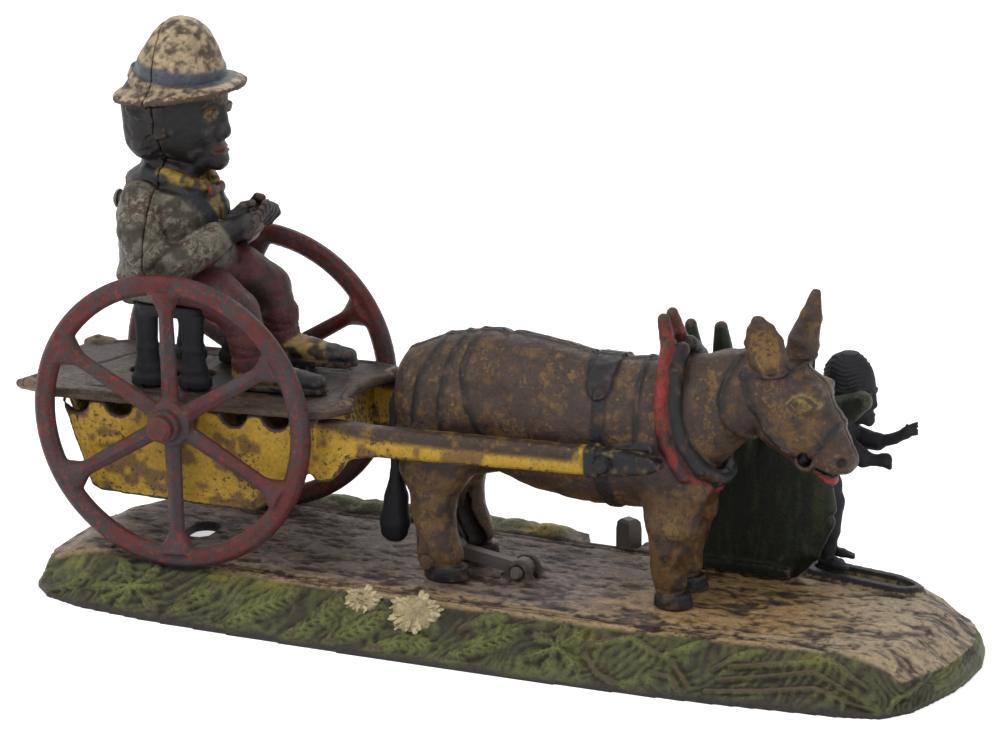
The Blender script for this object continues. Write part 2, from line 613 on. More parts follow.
def wheel(name, side, finishes, parent):
    """Six-spoked cast wheel with a coned hub, in the cart frame."""
    inner_radius = WHEEL_RADIUS - RIM_HEIGHT
    rim_profile = [
        (inner_radius, 0.0), (inner_radius, RIM_WIDTH - 0.6), (inner_radius + 0.6, RIM_WIDTH),
        (WHEEL_RADIUS - 0.6, RIM_WIDTH), (WHEEL_RADIUS, RIM_WIDTH - 0.6), (WHEEL_RADIUS, 0.0),
    ]
    base = Vector((0, side * WHEEL_INNER_Y, 0))
    direction = Vector((0, side, 0))
    sides = 32
    mesh_data = bmesh.new()
    loops = []
    for i in range(sides):
        angle = 2 * math.pi * i / sides
        radial = Vector((math.cos(angle), 0, math.sin(angle)))
        loops.append([mesh_data.verts.new(base + direction * along + radial * radius)
            for radius, along in rim_profile])
    for i in range(sides):
        ring, following = loops[i], loops[(i + 1) % sides]
        for j in range(len(ring)):
            k = (j + 1) % len(ring)
            mesh_data.faces.new((ring[j], ring[k], following[k], following[j]))
    rim = make_object(name, mesh_data)
    middle = base + direction * (RIM_WIDTH / 2)
    spokes = []
    for i in range(SPOKE_COUNT):
        angle = math.radians(90) + 2 * math.pi * i / SPOKE_COUNT
        radial = Vector((math.cos(angle), 0, math.sin(angle)))
        across = Vector((-math.sin(angle), 0, math.cos(angle)))
        rings = []
        flares = ((2.5, 1.3), (9.0, 1.0), (inner_radius - 6.0, 1.0), (inner_radius + 1.5, 2.2))
        for distance, flare in flares:
            half_w = SPOKE_WIDTH / 2 * flare
            half_t = SPOKE_THICKNESS / 2
            centre = middle + radial * distance
            section = ((-half_w, -half_t), (-half_w, half_t * 0.4), (-half_w * 0.6, half_t),
                (half_w * 0.6, half_t),
                       (half_w, half_t * 0.4), (half_w, -half_t))
            rings.append([centre + across * u + direction * v for u, v in section])
        spokes.append(loft(rings))
    hub_start = SIDE_Y + 1.6 + GAP - WHEEL_INNER_Y
    hub_profile = [
        (HUB_RADIUS * 0.8, hub_start), (HUB_RADIUS, hub_start + 0.8), (HUB_RADIUS * 1.1, RIM_WIDTH / 2),
        (HUB_RADIUS, HUB_LENGTH - 2.6), (HUB_RADIUS * 0.8, HUB_LENGTH - 1.2), (HUB_RADIUS * 0.78, HUB_LENGTH),
    ]
    fuse(rim, *spokes, turned(base, direction, hub_profile, 12))
    cut(rim, cylinder(base - direction * 5, direction, AXLE_RADIUS + GAP, HUB_LENGTH + 10, 14))
    return finish(tidy_mesh(rim), name, finishes["wheel"], parent)


def axle(finishes, parent):
    hub_end = WHEEL_INNER_Y + HUB_LENGTH + GAP
    end = hub_end + AXLE_HEAD_LENGTH
    profile = [
        (AXLE_HEAD_RADIUS * 0.75, -end), (AXLE_HEAD_RADIUS, -end + 0.8), (AXLE_HEAD_RADIUS, -hub_end),
        (AXLE_RADIUS, -hub_end),
        (AXLE_RADIUS, hub_end), (AXLE_HEAD_RADIUS, hub_end), (AXLE_HEAD_RADIUS, end - 0.8),
        (AXLE_HEAD_RADIUS * 0.75, end),
    ]
    finish(turned((0, 0, 0), (0, 1, 0), profile, 14), "axle", finishes["wheel"], parent)


def box_corners():
    """Side view of the cart box below the deck, in the cart frame."""
    return [
        (-BOX_REAR, BOX_TOP), (-BOX_REAR + 8.5, -BOX_DEPTH + 2.6), (-BOX_REAR + 11.5, -BOX_DEPTH + 1.2),
        (BOX_FRONT - 19.0, -BOX_DEPTH - 0.8), (BOX_FRONT - 15.0, -BOX_DEPTH + 1.6), (BOX_FRONT, -11.0),
        (BOX_FRONT, BOX_TOP),
    ]


def cart_side(name, side, finishes, parent):
    """One side casting: box side, axle boss and shaft in one piece."""
    inner, outer = side * (SIDE_Y - BOX_WALL), side * SIDE_Y
    plate = prism(box_corners(), "Y", min(inner, outer), max(inner, outer))
    shaft_y = side * SHAFT_CENTRE_Y
    half_w, half_h = SHAFT_WIDTH / 2, SHAFT_HEIGHT / 2
    rings = []
    for x, width, height, drop in (
            (BOX_FRONT + GAP, 0.8, 1.3, 0.8), (BOX_FRONT + 2.5, 1.0, 1.3, 0.8),
            (BOX_FRONT + 12.0, 1.0, 1.08, 0.3),
            (SHAFT_PIN_X - 8.0, 1.0, 0.92, 0.0), (SHAFT_PIN_X + 4.0, 1.0, 0.92, 0.0),
            (SHAFT_REACH - 5.0, 0.9, 0.72, -0.5), (SHAFT_REACH - 1.0, 0.75, 0.6, -0.8),
            (SHAFT_REACH, 0.4, 0.3, -0.8)):
        centre = Vector((x, shaft_y, SHAFT_LINE - drop))
        w, h = half_w * width, half_h * height
        section = ((-w, -h * 0.6), (-w, h * 0.6), (-w * 0.6, h), (w * 0.6, h), (w, h * 0.6), (w, -h * 0.6),
            (w * 0.6, -h),
                   (-w * 0.6, -h))
        rings.append([centre + Vector((0, u, v)) for u, v in section])
    shaft = loft(rings)
    boss = cylinder((0, inner, 0), (0, side, 0), 5.0, BOX_WALL + 1.6, 14)
    tug = cylinder((SHAFT_PIN_X - 6.5, shaft_y, SHAFT_LINE), (1, 0, 0), 1.0, 3.2, 14)
    tug.scale = (1.0, half_w + 0.8, half_h + 0.5)
    tug.location = (0, shaft_y * MM * (1 - (half_w + 0.8)), SHAFT_LINE * MM * (1 - (half_h + 0.5)))
    root_low = (BOX_FRONT - 6.0, min(inner, outer) + GAP, SHAFT_LINE - 5.6)
    root_high = (BOX_FRONT + 6.0, max(inner, outer) - GAP, SHAFT_LINE + 4.0)
    root = box(root_low, root_high)
    fuse(plate, root, shaft, boss, tug)
    cutters = [cylinder((0, -40, 0), (0, 1, 0), AXLE_RADIUS + GAP, 80, 14)]
    for x in scallop_places():
        cutters.append(cylinder((x, inner - side, BOX_TOP + 0.2), (0, side, 0), SCALLOP_RADIUS,
            BOX_WALL + 2, 14))
    cutters.append(cylinder((SHAFT_PIN_X, -40, SHAFT_LINE), (0, 1, 0), PIN_RADIUS + RUNNING_GAP, 80, 16))
    cutters.append(box((-DECK_REAR, -BOX_WIDTH, BOX_TOP), (DECK_FRONT + 2.0, BOX_WIDTH, BOX_TOP + 12.0)))
    cut(plate, *cutters)
    return finish(tidy_mesh(plate), name, finishes["yellow"], parent)


def scallop_places():
    """Centres of the half-round gaps along the top of the box sides."""
    return [-BOX_REAR + 5.0, -BOX_REAR + 18.0, BOX_FRONT - 24.0, BOX_FRONT - 11.5]


def offset_inwards(points, distance):
    """Shift an open outline, listed clockwise from above left, to its inner side."""
    moved = []
    for i, point in enumerate(points):
        before = Vector(points[max(i - 1, 0)])
        after = Vector(points[min(i + 1, len(points) - 1)])
        tangent = (after - before).normalized()
        normal = Vector((-tangent.y, tangent.x))
        moved.append(tuple(Vector(point) + normal * distance))
    return moved


def tray(finishes, parent):
    """Ends and floor of the coin box, bent round between the two sides."""
    outer = offset_inwards(box_corners(), 1.2)
    outer[0] = (outer[0][0], BOX_TOP)
    outer[-1] = (outer[-1][0], BOX_TOP)
    inner = offset_inwards(outer, TRAY_WALL)
    inner[0] = (inner[0][0], BOX_TOP)
    inner[-1] = (inner[-1][0], BOX_TOP)
    reach = SIDE_Y - BOX_WALL - GAP
    floor = prism(outer + list(reversed(inner)), "Y", -reach, reach)
    hole = cylinder((trap_hole_x(), 0, -BOX_DEPTH - 4), (0, 0, 1), TRAP_RADIUS - 2.5, 8, 20)
    screw_hole = cylinder((trap_screw_x(), 0, -BOX_DEPTH - 4), (0, 0, 1), SCREW_RADIUS + GAP, 8, 12)
    front_screw = cylinder((BOX_FRONT - 6, 0, SHAFT_LINE), (1, 0, 0), SCREW_RADIUS + GAP, 12, 12)
    cut(floor, hole, screw_hole, front_screw)
    finish(tidy_mesh(floor), "coin_tray", finishes["yellow"], parent)


def trap_screw_x():
    return -TRAP_OFFSET - 4.0


def trap_hole_x():
    return trap_screw_x() + TRAP_OFFSET + 2.0


def floor_line(x):
    """Height of the tray floor's underside at a place along the cart."""
    corners = box_corners()
    (x0, z0), (x1, z1) = corners[2], corners[3]
    return z0 + (z1 - z0) * (x - x0) / (x1 - x0) + 1.2


def trap(finishes, parent):
    """Round plate under the floor that swings aside to let the coins out."""
    under = min(floor_line(trap_hole_x() + TRAP_RADIUS), floor_line(trap_screw_x())) - GAP
    outline = stadium((trap_screw_x(), 0), (trap_hole_x(), 0), TRAP_RADIUS, 10)
    tail = 5.0
    shaped = [(x, y) if x > trap_screw_x()
        else (trap_screw_x() + (x - trap_screw_x()) * tail / TRAP_RADIUS, y * 0.7)
              for x, y in outline]
    plate = prism(shaped, "Z", under - TRAP_THICKNESS, under)
    cut(plate, cylinder((trap_screw_x(), 0, under - 5), (0, 0, 1), SCREW_RADIUS + GAP, 10, 12))
    finish(plate, "coin_trap", finishes["black"], parent, (trap_screw_x(), 0, under))
    bottom = under - TRAP_THICKNESS - GAP
    floor_top = floor_line(trap_screw_x()) + TRAY_WALL + GAP
    profile = [
        (2.4, bottom - SCREW_HEAD_LENGTH), (SCREW_HEAD_RADIUS, bottom - 0.6), (SCREW_HEAD_RADIUS, bottom),
        (SCREW_RADIUS, bottom),
        (SCREW_RADIUS, floor_top + 0.3), (SCREW_HEAD_RADIUS, floor_top + 0.3),
        (SCREW_HEAD_RADIUS, floor_top + 2.4),
        (1.0, floor_top + 2.4),
    ]
    screw = turned((trap_screw_x(), 0, 0), (0, 0, 1), profile, 12)
    finish(screw, "trap_screw", finishes["steel"], parent, (trap_screw_x(), 0, bottom))


def deck_outline():
    """Plan of the deck: horned rear corners, straight sides, hollow front edge."""
    half = DECK_WIDTH / 2
    near = [
        (-DECK_REAR + 3.0, 0.0), (-DECK_REAR + 2.4, -half * 0.45), (-DECK_REAR, -half * 0.66),
        (-DECK_REAR + 1.0, -half * 0.82),
        (-DECK_REAR + 5.5, -half * 0.86), (-DECK_REAR + 8.0, -half * 0.97), (-DECK_REAR + 11.0, -half),
        (DECK_FRONT - 10.0, -half), (DECK_FRONT - 4.0, -half + 2.0), (DECK_FRONT, -half + 8.0),
        (DECK_FRONT - 1.2, -half + 11.0),
        (DECK_FRONT - DECK_HORN, -half * 0.36), (DECK_FRONT - DECK_HORN - 1.5, 0.0),
    ]
    far = [(x, -y) for x, y in reversed(near[1:-1])]
    return near + far


def deck(finishes, parent):
    plate = prism(deck_outline(), "Z", DECK_BOTTOM, DECK_TOP)
    lip = [(x, y) for x, y in deck_outline()]
    ridge = prism([(x * 0.985, y * 0.95) for x, y in lip], "Z", DECK_TOP - 0.4, DECK_TOP + 0.5)
    hollow = prism([(x * 0.90, y * 0.82) for x, y in lip], "Z", DECK_TOP, DECK_TOP + 2)
    fuse(plate, ridge)
    slot_front = COIN_SLOT_WIDTH / 2
    slot = prism(stadium((-COIN_SLOT_LENGTH + slot_front, 0), (-slot_front, 0), slot_front), "Z",
        DECK_BOTTOM - 1, DECK_TOP + 2)
    cutters = [hollow, slot]
    for x, y in deck_screw_places():
        cutters.append(cylinder((x, y, DECK_BOTTOM - 1), (0, 0, 1), SCREW_RADIUS + GAP, 6, 12))
    cut(plate, *cutters)
    finish(tidy_mesh(plate), "deck", finishes["deck"], parent)


def deck_screw_places():
    """Screws from under the deck into the front and rear seat feet."""
    return [(SEAT_X - SEAT_LENGTH * 0.33, -SEAT_WIDTH * 0.43),
        (SEAT_X - SEAT_LENGTH * 0.33, SEAT_WIDTH * 0.43)]


def seat(finishes, parent):
    half_l, half_w = SEAT_LENGTH / 2, SEAT_WIDTH / 2
    foot_level = DECK_TOP + GAP
    plate_bottom = SEAT_TOP - SEAT_THICKNESS
    outline = [(SEAT_X + x, y) for x, y in (
        (-half_l, -half_w + 3), (-half_l + 3, -half_w), (half_l - 3, -half_w), (half_l, -half_w + 3),
        (half_l, half_w - 3), (half_l - 3, half_w), (-half_l + 3, half_w), (-half_l, half_w - 3))]
    plate = prism(outline, "Z", plate_bottom, SEAT_TOP)
    legs = []
    for x_side in (-1, 1):
        for y_side in (-1, 1):
            x = SEAT_X + x_side * SEAT_LENGTH * 0.33
            y = y_side * SEAT_WIDTH * 0.43
            rings = []
            for height, flare_x, flare_y in (
                    (foot_level, 1.8, 1.45), (foot_level + 1.0, 1.7, 1.35), (foot_level + 4.0, 1.2, 1.0),
                    (foot_level + 10.0, 1.0, 0.9), (plate_bottom + 1.0, 1.15, 1.0)):
                centre = Vector((x, y, height))
                rings.append(ellipse_ring(centre, Vector((1, 0, 0)), Vector((0, 1, 0)),
                                          SEAT_LEG_RADIUS * flare_x, SEAT_LEG_RADIUS * flare_y, 8))
            legs.append(loft(rings))
    fuse(plate, *legs)
    bores = [cylinder((x, y, foot_level - 1), (0, 0, 1), SCREW_RADIUS + GAP, 7, 12)
        for x, y in deck_screw_places()]
    cut(plate, *bores)
    cut(plate, cylinder((SEAT_X, 0, foot_level), (0, 0, 1), SCREW_RADIUS + GAP, 40, 12))
    finish(tidy_mesh(plate), "seat", finishes["black"], parent)
    for number, (x, y) in enumerate(deck_screw_places(), 1):
        head = DECK_BOTTOM - GAP
        profile = [(SCREW_HEAD_RADIUS * 0.8, head - SCREW_HEAD_LENGTH), (SCREW_HEAD_RADIUS, head - 0.5),
                   (SCREW_HEAD_RADIUS, head), (SCREW_RADIUS, head), (SCREW_RADIUS, foot_level + 5.0)]
        finish(turned((x, y, 0), (0, 0, 1), profile, 12), f"seat_screw_{number}", finishes["steel"], parent,
            (x, y, head))


def placed(stations, unit, floor=0.0):
    """Scale a limb's stations by a unit and stand them on a floor."""
    return [(x * unit, y * unit, floor + z * unit, a * unit, b * unit) for x, y, z, a, b in stations]


def driver_solid():
    """Seated driver as one solid, in the cart frame, before it is halved."""
    base = SEAT_TOP + GAP
    unit = DRIVER_HEIGHT / 77.0
    torso = limb(placed([
        (-9.5, 0, 1.0, 15.0, 15.0), (-9.8, 0, 7.0, 16.5, 16.2), (-10.5, 0, 15.0, 16.0, 15.8),
        (-10.8, 0, 23.0, 16.6, 15.0), (-10.5, 0, 30.0, 15.4, 12.5), (-9.5, 0, 34.5, 9.6, 8.5),
        (-8.5, 0, 38.0, 6.5, 7.0)], unit, base), 12, end_round=0.0)
    head = limb(placed([
        (-3.5, 0, 35.0, 5.5, 5.5), (-4.5, 0, 39.0, 9.0, 9.5), (-6.0, 0, 45.0, 11.5, 13.2),
        (-7.0, 0, 52.0, 12.2, 14.4), (-7.4, 0, 58.0, 12.0, 14.2)], unit, base), 12, end_round=0.0)
    nose = limb(placed([(5.5, 0, 51.0, 1.8, 2.0), (7.4, 0, 47.5, 2.4, 2.2)], unit, base), 6)
    tilt = math.radians(5.5)
    forward = Vector((math.cos(tilt), 0, math.sin(tilt)))
    upward = Vector((-math.sin(tilt), 0, math.cos(tilt)))
    across = Vector((0, 1, 0))
    brim_centre = Vector((-6.4 * unit, 0, base + 57.0 * unit))
    hat_rings = []
    for lift, half_x, half_y in (
            (0.0, 18.4, 17.2), (1.2, 18.7, 17.5), (3.0, 14.0, 13.4), (4.5, 12.8, 12.4), (10.0, 11.4, 11.0),
            (14.0, 9.2, 8.8), (17.0, 6.4, 6.0), (19.0, 3.2, 2.8)):
        centre = brim_centre + (upward + forward * 0.22) * lift * unit
        hat_rings.append(ellipse_ring(centre, forward, across, half_x * unit, half_y * unit, 14))
    pieces = [torso, head, nose, loft(hat_rings)]
    for side in (-1, 1):
        lift = 2.0 if side > 0 else 0.0
        pieces.append(limb(placed([
            (-12.0, side * 14.0, 28.5, 5.5, 6.0), (-10.0, side * 18.0, 21.0, 5.2, 6.2),
            (-4.0, side * 18.5, 14.0, 5.0, 5.6), (3.0, side * 14.5, 18.0, 4.4, 4.8),
            (8.0, side * 9.0, 22.0, 4.0, 4.4), (14.0, side * 4.5, 24.5, 4.2, 4.6)], unit, base), 8))
        leg_y = side * (8.5 + lift * 1.5)
        pieces.append(limb(placed([
            (-6.0, side * 7.5, 3.5 + lift, 6.5, 6.5), (5.0, side * 8.5, 3.0 + lift, 6.8, 7.2),
            (12.0, leg_y, lift - 2.0, 6.2, 6.6)], unit, base), 8))
        # The shin fills what the thigh leaves down to the boot on the deck
        sole = DECK_TOP + GAP
        ankle = (sole - base) / unit + 6.7 + lift
        knee = lift - 3.0
        pieces.append(limb(placed([
            (12.5, leg_y, knee, 5.6, 5.8), (15.0, leg_y, (knee + ankle) / 2, 5.0, 5.4),
            (14.5, leg_y, ankle, 4.4, 4.6)], unit, base), 8))
        pieces.append(limb(placed([
            (13.0, leg_y, 3.9 + lift, 3.8, 3.3), (20.0, leg_y, 4.1 + lift, 3.7, 3.5),
            (28.0, leg_y, 3.7 + lift, 3.9, 2.9), (35.0, leg_y, 3.1 + lift, 3.0, 2.0)], unit, sole), 8))
    return fuse(*pieces)


def halve(solid, axis, place, gap):
    """Split a solid by a plane into its low and high halves."""
    reach = 400.0
    halves = []
    for sign in (-1, 1):
        copy = bpy.data.objects.new("half", solid.data.copy())
        bpy.context.scene.collection.objects.link(copy)
        low, high = [-reach] * 3, [reach] * 3
        if sign < 0:
            high[axis] = place - gap / 2
        else:
            low[axis] = place + gap / 2
        halves.append(combine(copy, [box(low, high)], "INTERSECT"))
    bpy.data.objects.remove(solid)
    return halves


def driver(finishes, parent):
    base = SEAT_TOP + GAP
    seam_x = -9.0
    solid = driver_solid()
    unit = DRIVER_HEIGHT / 77.0
    rivet_z = base + 25.0 * unit
    back_end, front_end = -26.4 * unit, 0.0
    cut(solid, cylinder((-60, 0, rivet_z), (1, 0, 0), PIN_RADIUS + GAP, 60 + front_end + GAP, 12))
    cut(solid, cylinder((SEAT_X, 0, base - 4), (0, 0, 1), SCREW_RADIUS + GAP, 14, 12))
    half_l, half_w = SEAT_LENGTH / 2 + GAP, SEAT_WIDTH / 2 + GAP
    cut(solid, box((SEAT_X - half_l, -half_w, DECK_TOP), (SEAT_X + half_l, half_w, base)))
    back, front = halve(solid, 0, seam_x, GAP)
    finish(tidy_mesh(front), "driver_front", finishes["coat"], parent)
    finish(tidy_mesh(back), "driver_back", finishes["coat"], parent)
    profile = [
        (PIN_HEAD_RADIUS * 0.7, back_end - 1.2), (PIN_HEAD_RADIUS, back_end - 0.5),
        (PIN_HEAD_RADIUS, back_end),
        (PIN_RADIUS, back_end), (PIN_RADIUS, front_end)]
    finish(turned((0, 0, rivet_z), (1, 0, 0), profile, 12), "driver_rivet", finishes["coat"], parent,
        (0, 0, rivet_z))
    under = SEAT_TOP - SEAT_THICKNESS - GAP
    screw_profile = [(2.4, under - 1.6), (SCREW_HEAD_RADIUS, under - 1.0), (SCREW_HEAD_RADIUS, under),
        (SCREW_RADIUS, under),
                     (SCREW_RADIUS, base + 9.0)]
    finish(turned((SEAT_X, 0, 0), (0, 0, 1), screw_profile, 12), "driver_screw", finishes["steel"], parent,
        (SEAT_X, 0, under))


def stretched(stations, upright=False):
    """Give stations of the donkey its length, width and height.

    An upright limb's first half size lies along X, any other's along Y.
    """
    long, wide, tall = DONKEY_LENGTH / 129.0, DONKEY_HALF_WIDTH / 14.8, DONKEY_HEIGHT / 101.0
    first, second = (long, wide) if upright else (wide, tall)
    return [(x * long, y * wide, z * tall, a * first, b * second) for x, y, z, a, b in stations]


def leg(hip, stations):
    """Lower a leg's stations, given as shares of the way from its hip to the road."""
    tall = DONKEY_HEIGHT / 101.0
    floor = HOOF_FLOOR / tall
    return [(x, y, hip + (floor - hip) * share, a, b) for x, y, share, a, b in stations]


def donkey_solid():
    """Donkey with collar, hames and saddle band, from its shaft pin."""
    torso_rings = []
    for x, low, high, half in (
            (-67.6, -8.0, 9.0, 5.5), (-65.0, -12.0, 14.0, 9.5), (-58.0, -15.5, 20.0, 13.0),
            (-48.0, -15.0, 24.0, 14.4),
            (-36.0, -13.0, 26.6, 14.6), (-23.0, -17.0, 25.0, 14.8), (-10.0, -18.6, 22.5, 14.8),
            (2.0, -18.0, 22.5, 14.4),
            (11.0, -17.0, 23.5, 13.4), (19.0, -13.5, 23.5, 11.6), (25.0, -6.0, 20.0, 8.0)):
        (x, y, z, a, b), = stretched([(x, 0, (low + high) / 2, half, (high - low) / 2)])
        torso_rings.append(ellipse_ring(Vector((x, y, z)), Vector((0, 1, 0)), Vector((0, 0, 1)), a, b, 12))
    torso = loft(torso_rings)
    neck = limb(stretched([
        (9.0, 0, 8.0, 11.5, 16.0), (20.0, 0, 11.5, 10.5, 13.5), (31.0, 0, 16.0, 9.2, 11.8),
        (42.0, 0, 20.0, 8.4, 9.5)]), 10)
    head = limb(stretched([
        (42.5, 0, 22.0, 7.2, 8.5), (47.0, 0, 15.5, 8.6, 10.2), (51.0, 0, 9.5, 7.6, 8.8),
        (55.0, 0, 3.8, 6.0, 6.8),
        (58.0, 0, 0.0, 5.6, 5.4)]), 10)
    pieces = [torso, neck, head]
    near_ear = [(40.5, -4.5, 25.0, 3.4, 2.2), (39.5, -6.0, 32.0, 5.2, 1.9), (37.8, -7.5, 40.0, 2.4, 1.2)]
    far_ear = [(43.5, 4.5, 26.0, 4.2, 2.6), (46.0, 6.0, 35.0, 3.8, 2.2), (48.2, 7.5, 45.0, 1.8, 1.2)]
    for ear in (near_ear, far_ear):
        pieces.append(limb(stretched(ear, upright=True), 8, (1, 0, 0)))
    for side in (-1, 1):
        shift = 1.5 if side > 0 else 0.0
        pieces.append(limb(stretched(leg(-10.0, [
            (14.5 - shift, side * 8.5, 0.0, 5.6, 8.6), (14.5 - shift, side * 8.8, 0.31, 5.0, 6.2),
            (13.8 - shift, side * 8.4, 0.53, 4.2, 4.5), (13.4 - shift, side * 7.8, 0.72, 3.8, 4.2),
            (14.2 - shift, side * 7.6, 0.86, 4.0, 4.8), (14.0 - shift, side * 7.4, 0.92, 4.4, 5.4),
            (14.0 - shift, side * 7.4, 1.05, 4.7, 5.9)])), 8, end_round=0.0))
        pieces.append(limb(stretched(leg(-4.0, [
            (-53.0, side * 8.6, 0.0, 5.6, 13.0), (-53.5, side * 9.4, 0.31, 5.2, 9.5),
            (-53.0, side * 10.0, 0.6, 4.2, 5.4),
            (-51.4, side * 10.2, 0.75, 4.0, 5.8), (-50.4, side * 10.2, 0.87, 4.0, 6.8),
            (-48.6, side * 10.2, 0.94, 4.2, 6.4),
            (-47.6, side * 10.2, 1.04, 4.4, 6.2)])), 8, end_round=0.0))
    # Hames with their upright tips, in one run round the chest
    near_run = [
        (9.6, -3.0, 36.0, 1.6, 1.7), (11.2, -4.6, 29.5, 1.7, 1.9), (12.2, -10.2, 22.5, 1.8, 1.9),
        (12.8, -13.4, 14.0, 1.8, 1.9),
        (14.5, -13.8, 4.0, 1.8, 1.9), (19.0, -11.6, -4.0, 1.8, 1.8), (23.0, -5.5, -9.0, 1.8, 1.8)]
    far_run = [(x, -y, z, half_side, half_normal) for x, y, z, half_side, half_normal in reversed(near_run)]
    pieces.append(limb(stretched(near_run + far_run, upright=True), 6, (1, 0, 0)))
    # Saddle band round the barrel where the shafts hang
    band = []
    for x, grow in ((-9.0, 0.0), (-8.6, 1.0), (-3.4, 1.0), (-3.0, 0.0)):
        (x, y, z, a, b), = stretched([(x, 0, 1.95, 14.8, 20.4)])
        band.append(ellipse_ring(Vector((x, y, z)), Vector((0, 1, 0)), Vector((0, 0, 1)), a + grow,
            b + grow, 14))
    pieces.append(loft(band))
    return fuse(*pieces)


def half_width_at(item, x, z, reach):
    """Largest distance of a solid's side from the middle plane round a point."""
    bpy.context.view_layer.update()
    widths = []
    for i in range(8):
        angle = 2 * math.pi * i / 8
        start = Vector((x + reach * math.cos(angle), -100.0, z + reach * math.sin(angle))) * MM
        hit, place, _, _ = item.ray_cast(start, Vector((0, 1, 0)))
        widths.append(-place.y / MM if hit else 0.0)
    return max(widths)


def donkey(finishes, parent):
    solid = donkey_solid()
    long, tall = DONKEY_LENGTH / 129.0, DONKEY_HEIGHT / 101.0
    hoof_x, hoof_z = HOOF_X - PIN_X, HOOF_Z - PIN_Z
    hoof_half = half_width_at(solid, hoof_x, hoof_z, 2.4)
    tail_slot = box((-75 * long, -TAIL_THICKNESS / 2 - GAP, -2.0 * tall),
        (-63.0 * long, TAIL_THICKNESS / 2 + GAP, 8.0 * tall))
    cut(solid, cylinder((0, -40, 0), (0, 1, 0), PIN_RADIUS + RUNNING_GAP, 80, 14),
        cylinder((hoof_x, -40, hoof_z), (0, 1, 0), PIN_RADIUS + GAP, 80, 12),
        cylinder((50.3 * long, -40, 2.6 * tall), (0, 1, 0), BIT_HOLE_RADIUS, 80, 14), tail_slot,
        box((-120, -40, HOOF_FLOOR - 30), (120, 40, HOOF_FLOOR)))
    for x, z in dowel_places():
        reach = DOWEL_LENGTH / 2 + GAP
        cut(solid, cylinder((x, -reach, z), (0, 1, 0), SCREW_RADIUS + GAP, 2 * reach, 12))
    # The far hind leg is a thin shell, open on its inner side
    hollow = leg(-4.0, [(-52.6, 7.5, 0.47, 2.4, 3.4), (-52.4, 7.5, 0.66, 2.4, 2.8),
        (-48.8, 7.5, 0.85, 2.4, 3.0)])
    cut(solid, limb(stretched(hollow), 8))
    near, far = halve(solid, 1, 0.0, GAP)
    for item, name in ((near, "donkey_near_half"), (far, "donkey_far_half")):
        finish(tidy_mesh(item), name, finishes["donkey"], parent)

    tail_half = TAIL_THICKNESS / 2
    root = [(-68.2, -1.6), (-63.6, -1.6), (-63.6, 7.4), (-68.5, 7.6), (-70.6, 2.0)]
    paddle = [(-70.4, 0.25), (-71.4, 0.51), (-73.0, 0.77), (-72.6, 0.92), (-70.0, 1.0), (-67.0, 0.94),
        (-66.0, 0.77),
              (-67.2, 0.51), (-68.4, 0.25)]
    tip = HOOF_FLOOR + TAIL_CLEARANCE
    tail_outline = [(x * long, z * tall) for x, z in root] + [(x * long, share * tip) for x, share in paddle]
    tail = prism(tail_outline, "Y", -tail_half, tail_half)
    finish(tail, "donkey_tail", finishes["black"], parent)
    for number, (x, z) in enumerate(dowel_places(), 1):
        dowel = cylinder((x, -DOWEL_LENGTH / 2, z), (0, 1, 0), SCREW_RADIUS, DOWEL_LENGTH)
        finish(dowel, f"donkey_dowel_{number}", finishes["steel"], parent, (x, 0, z))
    cross_pin("hoof_pin", hoof_x, hoof_z, hoof_half + GAP, PIN_RADIUS, finishes, parent, head=2.4)


def dowel_places():
    """Dowels inside the rump and the neck that keep the two halves in line."""
    long, tall = DONKEY_LENGTH / 129.0, DONKEY_HEIGHT / 101.0
    return [(-57.0 * long, 9.0 * tall), (28.0 * long, 15.0 * tall)]


def shaft_pin(finishes, parent):
    outside = SHAFT_CENTRE_Y + SHAFT_WIDTH / 2 + GAP
    cross_pin("shaft_pin", SHAFT_PIN_X, SHAFT_LINE, outside, PIN_RADIUS, finishes, parent)


def bush_screw_places():
    return [BUSH_X - 10.0, BUSH_X + 8.0]


